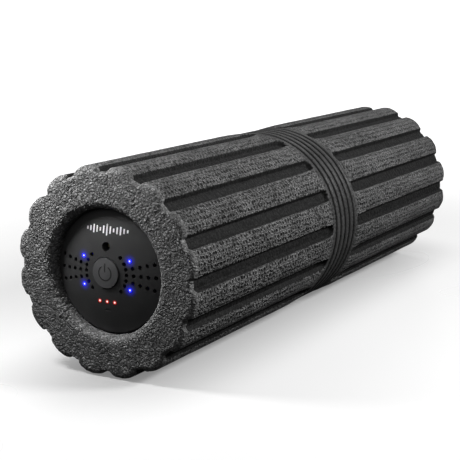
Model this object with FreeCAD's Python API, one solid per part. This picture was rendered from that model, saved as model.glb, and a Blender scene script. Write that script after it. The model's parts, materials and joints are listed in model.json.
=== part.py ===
import FreeCAD, Part
import math
import os
from FreeCAD import Placement, Rotation, Vector

# Vibrating foam roller.
# A grooved foam sleeve is bonded to a stiff core tube. A control panel with a power button closes
# one end of the tube and a plain cap closes the other. Inside the tube, a chassis of round plates on
# four tie rods carries a battery and a motor whose shaft turns an eccentric weight at each end.
#
# Units are millimetres. The roller's axis is Y, the control panel faces -Y and +Z is up.
# The origin is on the axis at the roller's mid-length.

# ---------------------------------------------------------------- driving dimensions

# Foam sleeve
ROLLER_LENGTH = 432.0
ROLLER_DIAMETER = 136.0
SLEEVE_EDGE_RADIUS = 4.0
SLEEVE_MOUTH_RADIUS = 5.0
BOND_GAP = 0.3

# Long grooves, one at the top and one at the bottom
GROOVE_COUNT = 16
GROOVE_WIDTH = 7.0
GROOVE_DEPTH = 4.5
GROOVE_FLOOR_RADIUS = 2.0
GROOVE_LIP_RADIUS = 2.2
# Rounding of the two corners of a groove's inner end, seen from outside
GROOVE_CORNER_RADIUS = 2.4
GROOVE_FREE_BAND = 42.0
# Fall of a lobe's rounded top from its crest to its shoulders
LOBE_CROWN_DROP = 1.2
# Length over which a lobe rises and takes its crown beside the band
LOBE_FADE = 12.0
# The band between the grooves lies this far below the lobes' crests
BAND_INSET = 1.0

# Ribbed band round the middle
RIB_CUT_COUNT = 5
RIB_CUT_PITCH = 7.7
RIB_CUT_WIDTH = 2.6
RIB_CUT_DEPTH = 2.0
RIB_FLOOR_RADIUS = 0.9
RIB_LIP_RADIUS = 0.8

# Core tube and the fits inside it
CORE_WALL = 3.0
CHASSIS_FIT = 0.3
STATIC_FIT = 0.1
RUNNING_FIT = 0.04
THREAD_FIT = 0.05

# End covers
COVER_RECESS = 8.0
COVER_EDGE_INSET = 1.0
COVER_RISE = 5.0
COVER_WALL = 2.2
COVER_RIM = 2.0
CLIP_COUNT = 4
CLIP_SPAN = 36.0
CLIP_WALL = 2.1
CLIP_LENGTH = 12.0
BARB_SPAN = 24.0
BARB_LENGTH = 3.0
BARB_CATCH = 0.9
BARB_GAP = 0.3

# Power button
BUTTON_RADIUS = 9.5
BUTTON_GAP = 0.7
BUTTON_PROUD = 1.0
BUTTON_CROWN = 0.5
BUTTON_FLANGE = 1.4
BUTTON_FLANGE_THICKNESS = 1.2
BUTTON_POST_RADIUS = 2.5
BUTTON_TRAVEL = 0.8
GUIDE_GAP = 0.3
GUIDE_WALL = 1.0
GUIDE_LENGTH = 4.0

# Vent holes, in a fan on each side of the button
VENT_RADIUS = 1.3
VENT_CLEARANCE = 1.6
VENT_PITCH = 4.9
VENT_ROWS = 5
VENT_INNER_ANGLES = (-45.0, -27.0, 27.0, 45.0)
VENT_ROW_ANGLES = (-13.5, 0.0, 13.5)

# Indicator lights
SPEED_LIGHT_ANGLE = 28.0
SPEED_LIGHT_OFFSET = 4.4
SPEED_LIGHT_RADIUS = 1.4
CHARGE_LIGHT_COUNT = 3
CHARGE_LIGHT_PITCH = 5.6
CHARGE_LIGHT_OFFSET = 6.3
CHARGE_LIGHT_RADIUS = 1.2
LIGHT_HOLE_GAP = 0.1
LIGHT_FLANGE = 0.5
LIGHT_FLANGE_THICKNESS = 0.9
LIGHT_AIR_GAP = 0.2
CHIP_WIDTH = 2.0
CHIP_HEIGHT = 0.9
MARK_OFFSET = 5.5
MARK_LENGTH = 4.5
MARK_WIDTH = 1.5
MARK_DEPTH = 0.6

# Charge jack, for a round plug of 5.5 mm with a 2.1 mm centre hole
JACK_BORE_RADIUS = 2.95
JACK_WALL = 1.05
JACK_FLOOR = 1.0
JACK_PIN_RADIUS = 1.0
JACK_PIN_LENGTH = 6.4

# Control board and what is on it
BOARD_RADIUS = 31.0
BOARD_THICKNESS = 1.6
BOARD_SETBACK = 12.0
BOSS_CIRCLE_RADIUS = 27.0
BOSS_RADIUS = 3.0
SWITCH_WIDTH = 6.0
SWITCH_HEIGHT = 3.5
SWITCH_FLOOR = 1.2
PLUNGER_RADIUS = 1.75
# What is left of the plunger above the switch when the button is pressed
PLUNGER_REST = 0.2
PLUNGER_SUNK = 1.0
PLUG_WIDTH = 8.0
PLUG_DEPTH = 6.0
PLUG_HEIGHT = 5.0
DRIVER_CHIP_WIDTH = 7.0
DRIVER_CHIP_HEIGHT = 1.4
DRIVER_CHIP_PITCH = 12.0

# Battery of four round cells, 18 mm across and 65 mm long
CELL_RADIUS = 9.2
CELL_LENGTH = 65.2
CELL_COUNT = 4
CELL_GAP = 1.0
POCKET_GAP = 0.15
POCKET_DEPTH = 5.0
POCKET_WALL = 1.6
TAB_THICKNESS = 0.3
TAB_WIDTH = 6.0

# Motor
CAN_RADIUS = 18.0
CAN_LENGTH = 56.0
CAN_WALL = 1.8
BELL_THICKNESS = 4.0
BELL_SPIGOT = 2.0
HUB_RADIUS = 8.0
HUB_LENGTH = 3.0
BEARING_WALL = 2.5
BEARING_LENGTH = 5.0
SHAFT_RADIUS = 3.0
SHAFT_STUB = 1.0
MAGNET_THICKNESS = 2.9
MAGNET_LENGTH = 44.0
MAGNET_SPAN = 128.0
AIR_GAP = 0.5
CORE_STACK_LENGTH = 32.0
SLOT_COUNT = 5
SLOT_WIDTH = 4.2
SLOT_DEPTH = 6.0
WINDING_OVERHANG = 2.5
COMMUTATOR_RADIUS = 5.5
COMMUTATOR_LENGTH = 7.0
BRUSH_WIDTH = 4.0
BRUSH_LENGTH = 4.4
BRUSH_HEIGHT = 6.0
BRUSH_GAP = 0.1
HOLDER_WALL = 1.4
HOLDER_END_GAP = 0.6
TERMINAL_WIDTH = 2.4
TERMINAL_THICKNESS = 0.8
TERMINAL_REACH = 2.9
TERMINAL_RISE = 2.0

# Eccentric weights
WEIGHT_RADIUS = 24.0
WEIGHT_LENGTH = 18.0
WEIGHT_HUB_RADIUS = 8.0
WEIGHT_STANDOFF = 10.0
WEIGHT_END_GAP = 4.0
GRUB_RADIUS = 1.9
GRUB_LENGTH = 4.0

# Chassis
END_PLATE_THICKNESS = 3.2
MOUNT_PLATE_THICKNESS = 4.0
RIM_WALL = 3.0
RIM_LENGTH = 12.0
ROD_RADIUS = 2.0
ROD_COUNT = 4
ROD_STICKOUT = 2.0
ROD_FIT = 0.15
SPACER_WALL = 1.35
NUT_FLAT_WIDTH = 7.0
NUT_THICKNESS = 3.2
SWEEP_GAP = 1.0
RIM_NUT_GAP = 0.5

# Screws: head radius, head height, shank radius, shank length, drive slot width
BOARD_SCREW = (2.3, 1.5, 1.2, 6.0, 0.6)
MOTOR_SCREW = (2.6, 1.9, 1.5, 6.5, 0.8)
RIM_SCREW = (2.5, 1.4, 1.4, 4.4, 0.7)
MOTOR_SCREW_CIRCLE = 12.5
RIM_SCREW_COUNT = 4

# Leads
LEAD_RADIUS = 0.8
LEAD_SPREAD = 2.0
LEAD_HOLE_RADIUS = 3.3
LEAD_BEND_SHARE = 0.45

# ---------------------------------------------------------------- worked-out dimensions

CENTRE = Vector(0, 0, 0)
Y_AXIS = Vector(0, 1, 0)
CUT_MARGIN = 1.0
QUARTERS = (45.0, 135.0, 225.0, 315.0)

SLEEVE_RADIUS = ROLLER_DIAMETER / 2
BAND_RADIUS = SLEEVE_RADIUS - BAND_INSET
# The crown's circle stands this far over the crest, so that it crosses the sleeve's cylinder cleanly
CREST_OVERLAP = 0.05
LOBE_SHOULDER = math.pi * SLEEVE_RADIUS / GROOVE_COUNT - GROOVE_WIDTH / 2 - GROOVE_LIP_RADIUS
LOBE_BEND = 1 / SLEEVE_RADIUS + 2 * (LOBE_CROWN_DROP + CREST_OVERLAP) / LOBE_SHOULDER**2
LOBE_CROWN_RADIUS = 1 / LOBE_BEND
# The slope beside the band ends a little deeper than the shoulders, inside the grooves
LOBE_FADE_DEPTH = 1.4 * LOBE_CROWN_DROP
FRONT_Y = -ROLLER_LENGTH / 2

# Chassis circles, from the axis outwards
CELL_CIRCLE = (2 * CELL_RADIUS + CELL_GAP) / math.sqrt(2)
POCKET_RADIUS = CELL_RADIUS + POCKET_GAP
BATTERY_BLOCK_RADIUS = CELL_CIRCLE + POCKET_RADIUS + POCKET_WALL
CLEAR_RADIUS = max(BATTERY_BLOCK_RADIUS, WEIGHT_RADIUS) + SWEEP_GAP
SPACER_RADIUS = ROD_RADIUS + ROD_FIT + SPACER_WALL
ROD_CIRCLE = CLEAR_RADIUS + SPACER_RADIUS
LEAD_CIRCLE = CLEAR_RADIUS + LEAD_RADIUS + SWEEP_GAP
NUT_CORNER_RADIUS = NUT_FLAT_WIDTH / math.sqrt(3)
CHASSIS_RADIUS = ROD_CIRCLE + NUT_CORNER_RADIUS + RIM_NUT_GAP + RIM_WALL
CORE_INNER_RADIUS = CHASSIS_RADIUS + CHASSIS_FIT
CORE_OUTER_RADIUS = CORE_INNER_RADIUS + CORE_WALL
SLEEVE_BORE_RADIUS = CORE_OUTER_RADIUS + BOND_GAP

# Chassis stations along the axis, from the motor's middle outwards
CAN_END = CAN_LENGTH / 2
BELL_FACE = CAN_END + BELL_THICKNESS
MOUNT_FACE = BELL_FACE + MOUNT_PLATE_THICKNESS
WEIGHT_START = MOUNT_FACE + WEIGHT_STANDOFF
WEIGHT_END = WEIGHT_START + WEIGHT_LENGTH
STATION_END = WEIGHT_END + WEIGHT_END_GAP
BATTERY_FLOOR = STATION_END + END_PLATE_THICKNESS
CELL_REAR = BATTERY_FLOOR + TAB_THICKNESS
CELL_FRONT = CELL_REAR + CELL_LENGTH
FRONT_PLATE_INNER = CELL_FRONT + TAB_THICKNESS
FRONT_PLATE_OUTER = FRONT_PLATE_INNER + END_PLATE_THICKNESS
REAR_PLATE_OUTER = STATION_END + END_PLATE_THICKNESS

# End covers, measured at the panel's end
COVER_RADIUS = CORE_OUTER_RADIUS - COVER_EDGE_INSET
COVER_RIM_Y = FRONT_Y + COVER_RECESS
COVER_SEAT_Y = COVER_RIM_Y + COVER_RIM
COVER_APEX_Y = COVER_RIM_Y - COVER_RISE
COVER_BALL_RADIUS = (COVER_RADIUS ** 2 + COVER_RISE ** 2) / (2 * COVER_RISE)
COVER_BALL_Y = COVER_APEX_Y + COVER_BALL_RADIUS
CLIP_OUTER_RADIUS = CORE_INNER_RADIUS - CHASSIS_FIT
CLIP_END_Y = COVER_SEAT_Y + CLIP_LENGTH
BARB_END_Y = CLIP_END_Y - BARB_LENGTH
BARB_START_Y = BARB_END_Y - BARB_LENGTH

# Panel layout, from the button outwards
BUTTON_HOLE_RADIUS = BUTTON_RADIUS + BUTTON_GAP
BUTTON_FLANGE_RADIUS = BUTTON_RADIUS + BUTTON_FLANGE
GUIDE_INNER_RADIUS = BUTTON_FLANGE_RADIUS + GUIDE_GAP
GUIDE_OUTER_RADIUS = GUIDE_INNER_RADIUS + GUIDE_WALL
JACK_RADIUS = JACK_BORE_RADIUS + JACK_WALL
JACK_Z = GUIDE_OUTER_RADIUS + GUIDE_GAP + JACK_RADIUS
VENT_ARC_RADIUS = GUIDE_OUTER_RADIUS + VENT_CLEARANCE + VENT_RADIUS
SPEED_LIGHT_CIRCLE = VENT_ARC_RADIUS + SPEED_LIGHT_OFFSET
CHARGE_LIGHT_Z = -(GUIDE_OUTER_RADIUS + CHARGE_LIGHT_OFFSET)
MARK_Z = CHARGE_LIGHT_Z - MARK_OFFSET

# Stations behind the panel
BOARD_FRONT_Y = COVER_APEX_Y + BOARD_SETBACK
BOARD_BACK_Y = BOARD_FRONT_Y + BOARD_THICKNESS
SWITCH_FRONT_Y = BOARD_FRONT_Y - SWITCH_HEIGHT
PLUNGER_TIP_Y = SWITCH_FRONT_Y - BUTTON_TRAVEL - PLUNGER_REST
CHIP_FRONT_Y = BOARD_FRONT_Y - CHIP_HEIGHT
PLUG_BACK_Y = BOARD_BACK_Y + PLUG_DEPTH
PLUG_CENTRE = LEAD_CIRCLE

# Motor radii, from the shaft outwards
BEARING_BORE_RADIUS = SHAFT_RADIUS + RUNNING_FIT
BEARING_RADIUS = BEARING_BORE_RADIUS + BEARING_WALL
CAN_INNER_RADIUS = CAN_RADIUS - CAN_WALL
MAGNET_RADIUS = CAN_INNER_RADIUS - STATIC_FIT
ARMATURE_RADIUS = MAGNET_RADIUS - MAGNET_THICKNESS - AIR_GAP
HUB_FACE = BELL_FACE + HUB_LENGTH
BEARING_INNER_FACE = HUB_FACE - BEARING_LENGTH
SHAFT_END = WEIGHT_END + SHAFT_STUB
WINDING_END = CORE_STACK_LENGTH / 2 + WINDING_OVERHANG
COMMUTATOR_START = WINDING_END + STATIC_FIT
BRUSH_MIDDLE = WINDING_END + HOLDER_END_GAP + HOLDER_WALL + BRUSH_LENGTH / 2
TERMINAL_Z = COMMUTATOR_RADIUS + BRUSH_GAP + BRUSH_HEIGHT + STATIC_FIT

# ---------------------------------------------------------------- shapes used by several parts


def polar(radius, angle):
    """X and Z of a point at a radius and angle, measured from +X towards +Z."""
    turn = math.radians(angle)
    return radius * math.cos(turn), radius * math.sin(turn)


def rod(radius, start, end, x=0.0, z=0.0):
    """Round bar along the axis."""
    return Part.makeCylinder(radius, end - start, Vector(x, start, z), Y_AXIS)


def tube(outer, inner, start, end, x=0.0, z=0.0):
    """Round tube along the axis."""
    return rod(outer, start, end, x, z).cut(rod(inner, start - CUT_MARGIN, end + CUT_MARGIN, x, z))


def block(width, start, end, height, x=0.0, z=0.0):
    """Box centred on x and z that runs from start to end along the axis."""
    corner = Vector(x - width / 2, start, z - height / 2)
    return Part.makeBox(width, end - start, height, corner)


def turned(shape, angle):
    """Copy of a shape turned about the axis, from +X towards +Z."""
    copy = shape.copy()
    copy.rotate(CENTRE, Y_AXIS, -angle)
    return copy


def mirrored(shape):
    """The same piece at the other end of the roller."""
    return shape.mirror(CENTRE, Y_AXIS)


def ring_sector(outer, inner, start, end, middle, span):
    """Part of a tube's wall that spans an angle about its middle."""
    corners = [
        Vector(inner, start, 0),
        Vector(outer, start, 0),
        Vector(outer, end, 0),
        Vector(inner, end, 0),
    ]
    outline = Part.makePolygon(corners + corners[:1])
    sector = Part.Face(outline).revolve(CENTRE, Y_AXIS, span)
    return turned(sector, middle + span / 2)


def even_angles(count, first=0.0):
    """Angles spaced evenly round the axis."""
    return [first + 360.0 * i / count for i in range(count)]


def at_angles(shape, angles):
    """Copies of one shape at several angles about the axis."""
    return [turned(shape, angle) for angle in angles]


def screw(sizes, seat, direction):
    """Slotted screw whose head sits on the seat point and whose shank follows direction."""
    head_radius, head_height, shank_radius, shank_length, slot_width = sizes
    head = rod(head_radius, -head_height, 0)
    shank = rod(shank_radius, 0, shank_length)
    slot = block(3 * head_radius, -head_height - CUT_MARGIN, -head_height / 2, slot_width)
    body = head.fuse(shank).cut(slot)
    body.Placement = Placement(seat, Rotation(Y_AXIS, direction))
    return body


def lead(points, label):
    """Round wire along straight runs joined by tangent arcs."""
    edges = []
    start = points[0]
    radii = []
    for before, corner, after in zip(points, points[1:], points[2:]):
        run_in = corner - before
        run_out = after - corner
        half_turn = run_in.getAngle(run_out) / 2
        reach = LEAD_BEND_SHARE * min(run_in.Length, run_out.Length)
        radii.append(reach / math.tan(half_turn))
        arc_start = corner - run_in.normalize() * reach
        arc_end = corner + run_out.normalize() * reach
        inward = (arc_start + arc_end - corner * 2).normalize()
        sagitta_reach = radii[-1] / math.cos(half_turn) - radii[-1]
        edges.append(Part.LineSegment(start, arc_start).toShape())
        edges.append(Part.Arc(arc_start, corner + inward * sagitta_reach, arc_end).toShape())
        start = arc_end
    edges.append(Part.LineSegment(start, points[-1]).toShape())
    path = Part.Wire(edges)
    section = Part.Wire(Part.Circle(points[0], points[1] - points[0], LEAD_RADIUS).toShape())
    wire = path.makePipeShell([section], True, False)
    ideal = math.pi * LEAD_RADIUS ** 2 * path.Length
    print(label, "bend radii", [round(r, 1) for r in radii], "volume ratio", round(wire.Volume / ideal, 4))
    return wire


# ---------------------------------------------------------------- foam sleeve


def rounded_slot(width, surface, depth, floor_radius, lip_radius, to_space):
    """Half outline of a U-shaped slot cut down from a surface, with a rounded floor and lip."""
    lip_turn = math.radians(65.0)
    wall = width / 2
    floor = surface - depth
    floor_centre = (wall - floor_radius, floor + floor_radius)
    lip_centre = (wall + lip_radius, surface - lip_radius)

    def on_arc(centre, radius, angle):
        return to_space(centre[0] + radius * math.cos(angle), centre[1] + radius * math.sin(angle))

    lip_end_angle = math.pi - lip_turn
    lip_end = (
        lip_centre[0] + lip_radius * math.cos(lip_end_angle),
        lip_centre[1] + lip_radius * math.sin(lip_end_angle),
    )
    top = SLEEVE_RADIUS + CUT_MARGIN
    top_side = lip_end[0] + (top - lip_end[1]) * math.tan(lip_turn)
    floor_middle = to_space(0, floor)
    floor_corner = to_space(floor_centre[0], floor)
    wall_foot = to_space(wall, floor_centre[1])
    wall_head = to_space(wall, lip_centre[1])
    lip_edge = to_space(*lip_end)
    floor_arc_middle = on_arc(floor_centre, floor_radius, -math.pi / 4)
    lip_arc_middle = on_arc(lip_centre, lip_radius, math.pi - lip_turn / 2)
    edges = [
        Part.LineSegment(floor_middle, floor_corner),
        Part.Arc(floor_corner, floor_arc_middle, wall_foot),
        Part.LineSegment(wall_foot, wall_head),
        Part.Arc(wall_head, lip_arc_middle, lip_edge),
        Part.LineSegment(lip_edge, to_space(top_side, top)),
        Part.LineSegment(to_space(top_side, top), to_space(0, top)),
        Part.LineSegment(to_space(0, top), floor_middle),
    ]
    return Part.Face(Part.Wire([edge.toShape() for edge in edges]))


def groove_cutter():
    """Long groove at the top of the sleeve's front half, with rounded corners at its inner end."""
    shoulder = SLEEVE_RADIUS - LOBE_CROWN_DROP
    section = (shoulder, GROOVE_DEPTH - LOBE_CROWN_DROP, GROOVE_FLOOR_RADIUS, GROOVE_LIP_RADIUS)
    corner_x = GROOVE_WIDTH / 2 - GROOVE_CORNER_RADIUS
    corner_y = -GROOVE_FREE_BAND / 2 - GROOVE_CORNER_RADIUS - GROOVE_LIP_RADIUS
    run = corner_y - FRONT_Y + CUT_MARGIN
    corner_width = 2 * GROOVE_CORNER_RADIUS
    across = rounded_slot(GROOVE_WIDTH, *section, lambda side, up: Vector(side, corner_y, up))
    at_corner = rounded_slot(corner_width, *section, lambda side, up: Vector(corner_x + side, corner_y, up))
    along = rounded_slot(corner_width, *section, lambda side, up: Vector(corner_x, corner_y + side, up))
    straight = across.extrude(Vector(0, -run, 0))
    corner = at_corner.revolve(Vector(corner_x, corner_y, 0), Vector(0, 0, 1), 90)
    nose = along.extrude(Vector(-corner_x, 0, 0))
    right = [straight, corner, nose]
    left = [piece.mirror(CENTRE, Vector(1, 0, 0)) for piece in right]
    return straight.fuse(right[1:] + left).removeSplitter()


def lobe_cutter():
    """Space outside the crowned lobes of the sleeve's front half."""
    start = FRONT_Y - CUT_MARGIN
    end = -GROOVE_FREE_BAND / 2
    shell = tube(SLEEVE_RADIUS + CUT_MARGIN, SLEEVE_RADIUS - GROOVE_DEPTH, start, end)
    kept = []
    for angle in even_angles(GROOVE_COUNT, 180.0 / GROOVE_COUNT):
        x, z = polar(SLEEVE_RADIUS + CREST_OVERLAP - LOBE_CROWN_RADIUS, angle)
        kept.append(rod(LOBE_CROWN_RADIUS, start - CUT_MARGIN, end + CUT_MARGIN, x, z))
    fade_start = Vector(0, end - LOBE_FADE, 0)
    radii = (SLEEVE_RADIUS - LOBE_FADE_DEPTH, SLEEVE_RADIUS + CREST_OVERLAP)
    kept.append(Part.makeCone(*radii, LOBE_FADE, fade_start, Y_AXIS))
    return shell.cut(kept)


def band_cutter():
    """Shallow ring that sets the ribbed band below the lobes, with sloping ends."""
    flat = GROOVE_FREE_BAND / 2
    outer = flat + LOBE_FADE
    top = SLEEVE_RADIUS + CUT_MARGIN
    corners = [
        (-outer, SLEEVE_RADIUS),
        (-flat, BAND_RADIUS),
        (flat, BAND_RADIUS),
        (outer, SLEEVE_RADIUS),
        (outer, top),
        (-outer, top),
    ]
    outline = Part.makePolygon([Vector(0, y, z) for y, z in corners + corners[:1]])
    return Part.Face(outline).revolve(CENTRE, Y_AXIS, 360)


def rib_cutter(middle):
    """Ring-shaped cut round the sleeve's band."""
    cut = (RIB_CUT_WIDTH, BAND_RADIUS, RIB_CUT_DEPTH, RIB_FLOOR_RADIUS, RIB_LIP_RADIUS)
    half = rounded_slot(*cut, lambda side, up: Vector(0, middle + side, up))
    other = rounded_slot(*cut, lambda side, up: Vector(0, middle - side, up))
    rings = [face.revolve(CENTRE, Y_AXIS, 360) for face in (half, other)]
    return rings[0].fuse(rings[1]).removeSplitter()


def foam_sleeve():
    body = tube(SLEEVE_RADIUS, SLEEVE_BORE_RADIUS, FRONT_Y, -FRONT_Y)
    rounds = ((SLEEVE_RADIUS, SLEEVE_EDGE_RADIUS), (SLEEVE_BORE_RADIUS, SLEEVE_MOUTH_RADIUS))
    for circle_radius, fillet in rounds:
        rims = [
            edge
            for edge in body.Edges
            if isinstance(edge.Curve, Part.Circle) and abs(edge.Curve.Radius - circle_radius) < STATIC_FIT
        ]
        body = body.makeFillet(fillet, rims)
    front_lobes = lobe_cutter()
    crowned = body.cut([front_lobes, mirrored(front_lobes), band_cutter()])
    front_groove = groove_cutter()
    rear_groove = mirrored(front_groove)
    cutters = []
    for angle in even_angles(GROOVE_COUNT):
        cutters.append(turned(front_groove, angle))
        cutters.append(turned(rear_groove, angle))
    band_start = -RIB_CUT_PITCH * (RIB_CUT_COUNT - 1) / 2
    for i in range(RIB_CUT_COUNT):
        cutters.append(rib_cutter(band_start + i * RIB_CUT_PITCH))
    return crowned.cut(cutters)


# ---------------------------------------------------------------- core tube and end covers


def rim_screw_seats(station):
    """Seat points and inward directions of the screws that hold a chassis end."""
    seats = []
    for angle in even_angles(RIM_SCREW_COUNT):
        x, z = polar(CORE_OUTER_RADIUS - RIM_SCREW[1] - STATIC_FIT, angle)
        seats.append((Vector(x, station, z), Vector(-x, 0, -z).normalize()))
    return seats


RIM_STATIONS = (-(FRONT_PLATE_INNER - RIM_LENGTH / 2), STATION_END - RIM_LENGTH / 2)


def rim_screw_holes(radius, station, depth):
    """Holes along the rim screws."""
    holes = []
    for seat, inward in rim_screw_seats(station):
        holes.append(Part.makeCylinder(radius, depth, seat - inward * CUT_MARGIN, inward))
    return holes


def core_tube():
    body = tube(CORE_OUTER_RADIUS, CORE_INNER_RADIUS, COVER_SEAT_Y, -COVER_SEAT_Y)
    window = ring_sector(
        CORE_OUTER_RADIUS + CUT_MARGIN,
        CORE_INNER_RADIUS - CUT_MARGIN,
        BARB_START_Y - BARB_GAP,
        BARB_END_Y + BARB_GAP,
        0,
        BARB_SPAN + 2,
    )
    clip_angles = even_angles(CLIP_COUNT, QUARTERS[0])
    cutters = at_angles(window, clip_angles) + at_angles(mirrored(window), clip_angles)
    for station in RIM_STATIONS:
        cutters += rim_screw_holes(RIM_SCREW[2] + STATIC_FIT, station, CORE_WALL + 2 * CUT_MARGIN)
        for seat, inward in rim_screw_seats(station):
            head_room = RIM_SCREW[1] + CUT_MARGIN
            head_radius = RIM_SCREW[0] + STATIC_FIT
            cutters.append(Part.makeCylinder(head_radius, head_room, seat, -inward))
    return body.cut(cutters)


def cover_back_y(radius):
    """Where the back of a cover's dome is at a radius."""
    return COVER_BALL_Y - math.sqrt((COVER_BALL_RADIUS - COVER_WALL) ** 2 - radius ** 2)


def cover_front_y(radius):
    """Where the front of a cover's dome is at a radius."""
    return COVER_BALL_Y - math.sqrt(COVER_BALL_RADIUS ** 2 - radius ** 2)


def end_cover():
    """Domed disc with sprung clips whose barbs catch in the core tube's windows."""
    middle = Vector(0, COVER_BALL_Y, 0)
    disc = rod(COVER_RADIUS, COVER_APEX_Y - CUT_MARGIN, COVER_SEAT_Y)
    shell = disc.common(Part.makeSphere(COVER_BALL_RADIUS, middle))
    shell = shell.cut(Part.makeSphere(COVER_BALL_RADIUS - COVER_WALL, middle))
    clip_inner = CLIP_OUTER_RADIUS - CLIP_WALL
    clip_start = cover_back_y(clip_inner) - COVER_WALL / 2
    clip = ring_sector(CLIP_OUTER_RADIUS, clip_inner, clip_start, CLIP_END_Y, 0, CLIP_SPAN)
    barb_outer = CORE_INNER_RADIUS + BARB_CATCH
    barb_inner = CLIP_OUTER_RADIUS - CLIP_WALL / 2
    barb = ring_sector(barb_outer, barb_inner, BARB_START_Y, BARB_END_Y, 0, BARB_SPAN)
    return shell.fuse(at_angles(clip.fuse(barb), even_angles(CLIP_COUNT, QUARTERS[0])))


def speed_light_places():
    """X and Z of the four speed lights, two on each side of the button."""
    angles = (SPEED_LIGHT_ANGLE, -SPEED_LIGHT_ANGLE, 180 - SPEED_LIGHT_ANGLE, 180 + SPEED_LIGHT_ANGLE)
    return [polar(SPEED_LIGHT_CIRCLE, angle) for angle in angles]


def charge_light_places():
    """X and Z of the row of charge lights below the button."""
    first = -CHARGE_LIGHT_PITCH * (CHARGE_LIGHT_COUNT - 1) / 2
    return [(first + i * CHARGE_LIGHT_PITCH, CHARGE_LIGHT_Z) for i in range(CHARGE_LIGHT_COUNT)]


def vent_places():
    """X and Z of the vent holes, in an arc and three rows on each side of the button."""
    places = []
    for side in (0.0, 180.0):
        for angle in VENT_INNER_ANGLES:
            places.append(polar(VENT_ARC_RADIUS, side + angle))
        for angle in VENT_ROW_ANGLES:
            for row in range(VENT_ROWS):
                places.append(polar(VENT_ARC_RADIUS + row * VENT_PITCH, side + angle))
    return places


def panel_hole(radius, x, z):
    """Hole through the panel's dome."""
    return rod(radius, COVER_APEX_Y - CUT_MARGIN, COVER_SEAT_Y + CUT_MARGIN, x, z)


def mark_recess():
    """Shallow slot with round ends below the charge lights."""
    front = cover_front_y(MARK_Z) - CUT_MARGIN
    floor = cover_front_y(MARK_Z) + MARK_DEPTH
    end_x = (MARK_LENGTH - MARK_WIDTH) / 2
    bar = block(2 * end_x, front, floor, MARK_WIDTH, z=MARK_Z)
    ends = [rod(MARK_WIDTH / 2, front, floor, x, MARK_Z) for x in (-end_x, end_x)]
    return bar.fuse(ends)


def control_panel():
    guide_start = cover_back_y(0)
    guide = tube(GUIDE_OUTER_RADIUS, GUIDE_INNER_RADIUS, guide_start, guide_start + GUIDE_LENGTH)
    bosses = []
    pilots = []
    for angle in QUARTERS:
        x, z = polar(BOSS_CIRCLE_RADIUS, angle)
        boss_start = cover_back_y(BOSS_CIRCLE_RADIUS) - COVER_WALL / 2
        bosses.append(rod(BOSS_RADIUS, boss_start, BOARD_FRONT_Y, x, z))
        pilots.append(rod(BOARD_SCREW[2] + THREAD_FIT, boss_start + COVER_WALL / 2, BOARD_BACK_Y, x, z))
    body = end_cover().fuse([guide] + bosses)
    holes = [panel_hole(BUTTON_HOLE_RADIUS, 0, 0), panel_hole(JACK_BORE_RADIUS, 0, JACK_Z)]
    holes += [panel_hole(VENT_RADIUS, x, z) for x, z in vent_places()]
    for x, z in speed_light_places():
        holes.append(panel_hole(SPEED_LIGHT_RADIUS + LIGHT_HOLE_GAP, x, z))
    for x, z in charge_light_places():
        holes.append(panel_hole(CHARGE_LIGHT_RADIUS + LIGHT_HOLE_GAP, x, z))
    return body.cut(holes + pilots + [mark_recess()])


def rear_cap():
    return mirrored(end_cover())


# ---------------------------------------------------------------- panel parts

BUTTON_FACE_Y = COVER_APEX_Y - BUTTON_PROUD
BUTTON_FLANGE_Y = cover_back_y(BUTTON_FLANGE_RADIUS) + STATIC_FIT


def power_button():
    """Round crowned cap with a flange that stops it at the back of the panel, and a post."""
    flange_end = BUTTON_FLANGE_Y + BUTTON_FLANGE_THICKNESS
    cap = rod(BUTTON_RADIUS, BUTTON_FACE_Y - CUT_MARGIN, flange_end)
    crown_radius = (BUTTON_RADIUS ** 2 + BUTTON_CROWN ** 2) / (2 * BUTTON_CROWN)
    crown = Part.makeSphere(crown_radius, Vector(0, BUTTON_FACE_Y + crown_radius, 0))
    flange = rod(BUTTON_FLANGE_RADIUS, BUTTON_FLANGE_Y, flange_end)
    post = rod(BUTTON_POST_RADIUS, BUTTON_FLANGE_Y, PLUNGER_TIP_Y)
    return cap.common(crown).fuse([flange, post])


def switch_plunger():
    return rod(PLUNGER_RADIUS, PLUNGER_TIP_Y, SWITCH_FRONT_Y + PLUNGER_SUNK)


def tact_switch():
    body = block(SWITCH_WIDTH, SWITCH_FRONT_Y, BOARD_FRONT_Y, SWITCH_WIDTH)
    floor = BOARD_FRONT_Y - SWITCH_FLOOR
    return body.cut(rod(PLUNGER_RADIUS + STATIC_FIT, SWITCH_FRONT_Y - CUT_MARGIN, floor))


def light_pipe(radius, x, z):
    """Clear pin from the panel's surface to just above its light chip, with a locating flange."""
    from_axis = math.hypot(x, z)
    face = cover_front_y(from_axis)
    flange_y = cover_back_y(from_axis + radius + LIGHT_FLANGE) + STATIC_FIT
    pin = rod(radius, face, CHIP_FRONT_Y - LIGHT_AIR_GAP, x, z)
    flange = rod(radius + LIGHT_FLANGE, flange_y, flange_y + LIGHT_FLANGE_THICKNESS, x, z)
    return pin.fuse(flange)


def light_pipes(radius, places):
    return [light_pipe(radius, x, z) for x, z in places]


def light_chips(places):
    return [block(CHIP_WIDTH, CHIP_FRONT_Y, BOARD_FRONT_Y, CHIP_WIDTH, x, z) for x, z in places]


def jack_front_y():
    return cover_back_y(JACK_Z + JACK_RADIUS) + STATIC_FIT


def charge_jack():
    front = jack_front_y()
    body = rod(JACK_RADIUS, front, BOARD_FRONT_Y, z=JACK_Z)
    return body.cut(rod(JACK_BORE_RADIUS, front - CUT_MARGIN, BOARD_FRONT_Y - JACK_FLOOR, z=JACK_Z))


def charge_jack_pin():
    foot = BOARD_FRONT_Y - JACK_FLOOR
    return rod(JACK_PIN_RADIUS, foot - JACK_PIN_LENGTH, foot, z=JACK_Z)


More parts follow.
